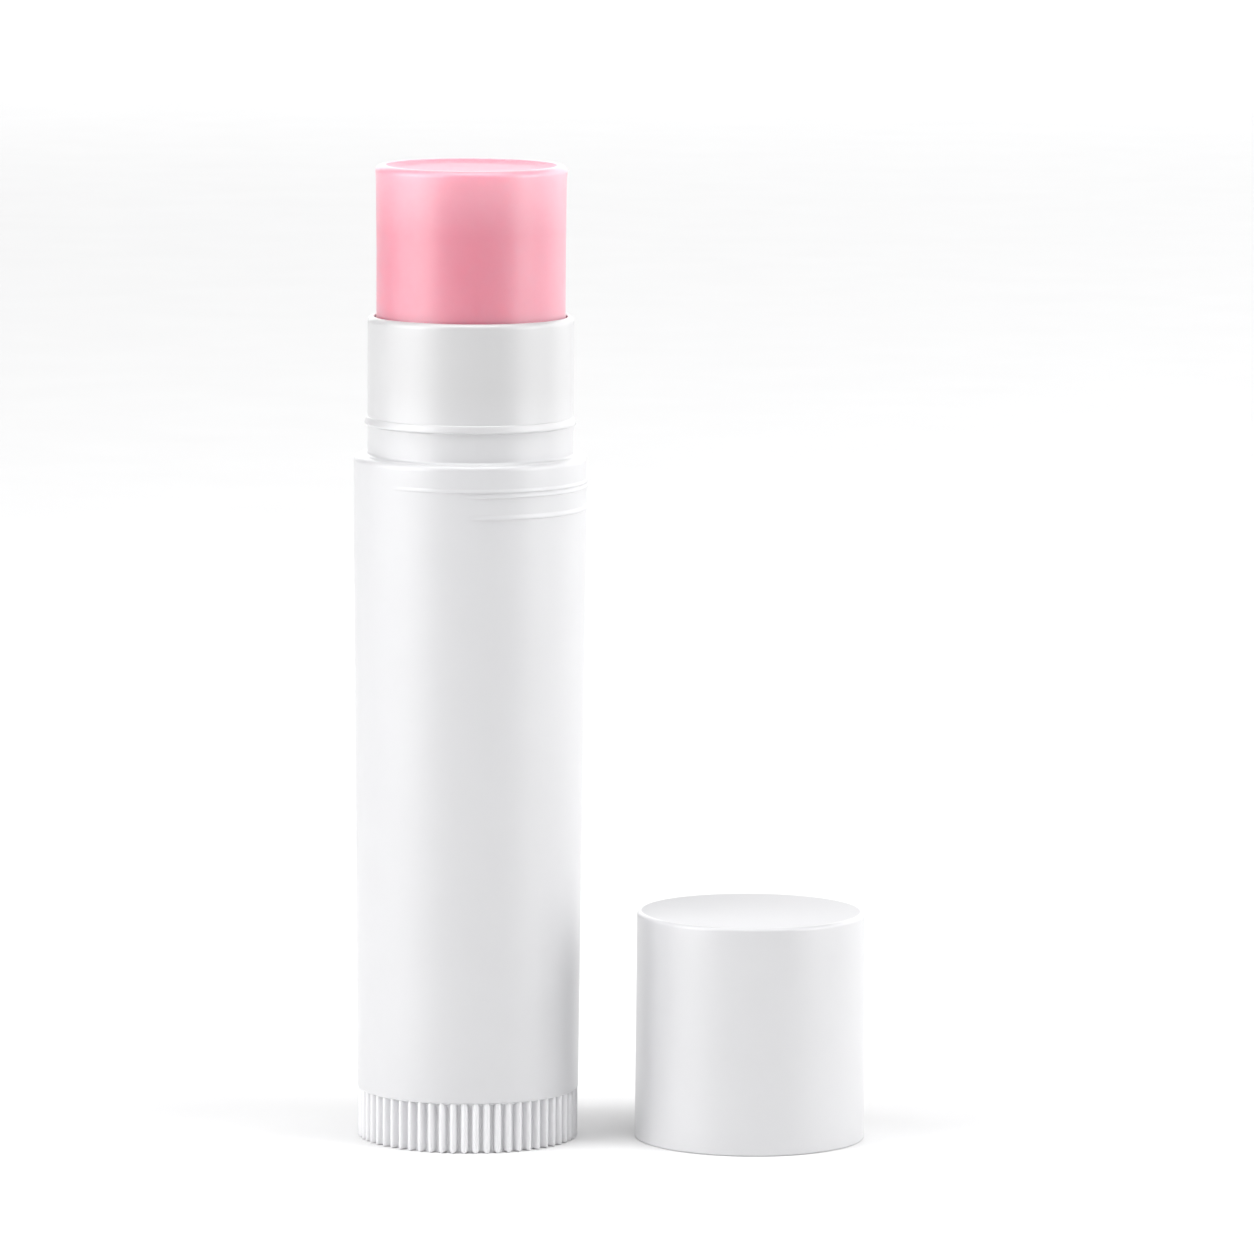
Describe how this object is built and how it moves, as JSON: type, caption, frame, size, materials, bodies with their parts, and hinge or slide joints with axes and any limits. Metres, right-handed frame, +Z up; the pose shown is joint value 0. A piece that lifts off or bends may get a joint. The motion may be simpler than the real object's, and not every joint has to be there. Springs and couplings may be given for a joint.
{
  "type": "lip balm stick",
  "caption": "Twist-up lip balm stick: a plain white plastic tube with a ribbed turning foot, wound out to show its pink balm, and its push-on cap standing beside it.",
  "frame": {"origin": "centre of the dial's underside, on the stick's axis, where it stands", "axes": "+Z up along the stick towards the balm, -Y the side that the picture shows, +X towards the cap that stands beside it"},
  "size_m": [0.0363, 0.0165, 0.069],
  "materials": {
    "shell": "smooth satin-gloss moulded polypropylene, opaque cool white",
    "inner_plastic": "unpolished natural polypropylene, slightly translucent",
    "balm": "cast wax balm, soft satin gloss, slightly translucent pink"
  },
  "bodies": {
    "barrel": {"barrel": "shell"},
    "dial": {"dial": "shell", "feed_screw": "inner_plastic"},
    "elevator": {"elevator": "inner_plastic", "balm": "balm"},
    "cap": {"cap": "shell"}
  },
  "joints": [
    {"name": "dial_turn", "type": "hinge", "parent": "barrel", "child": "dial", "pos_m": [0, 0, 0], "axis": [0, 0, 1], "range_deg": [-1081, 2161]},
    {"name": "elevator_slide", "type": "slide", "parent": "barrel", "child": "elevator", "axis": [0, 0, 1], "range_m": [-0.012, 0.024]},
    {"name": "cap_lift", "type": "slide", "parent": "barrel", "child": "cap", "axis": [0, 0, 1], "range_m": [0, 0.08]}
  ],
  "couplings": [
    {"joint": "dial_turn", "follows": "elevator_slide", "rad_per_m": 1570.8}
  ]
}
